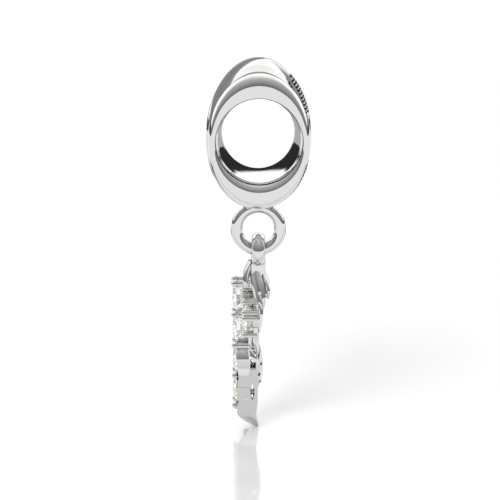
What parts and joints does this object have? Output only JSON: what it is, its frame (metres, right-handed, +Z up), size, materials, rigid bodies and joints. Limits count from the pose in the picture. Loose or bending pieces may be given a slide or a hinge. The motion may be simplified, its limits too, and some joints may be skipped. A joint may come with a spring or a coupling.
{
  "type": "bracelet charm",
  "caption": "Slide-on dangle charm: an oval big-hole bead with crossing straps and a soldered ring, from which a slim stone-set drop with leaves and a pierced gallery swings.",
  "frame": {"origin": "middle of the bead's bore", "axes": "+Z up, the drop hanging down along -Z; +Y along the bore; the drop's stones face -X"},
  "size_m": [0.006, 0.0068, 0.0227],
  "materials": {
    "silver": "polished and rhodium plated",
    "stone": "cut and polished"
  },
  "bodies": {
    "bead": {"bead_bail": "silver"},
    "drop": {"drop_frame": "silver", "stone_1": "stone", "stone_2": "stone", "stone_3": "stone", "stone_4": "stone", "side_stone_near": "stone", "side_stone_far": "stone"}
  },
  "joints": [
    {"name": "drop_swing", "type": "hinge", "parent": "bead", "child": "drop", "pos_m": [0, 0, -0.00679], "axis": [1, 0, 0], "range_deg": [-85, 85]}
  ]
}
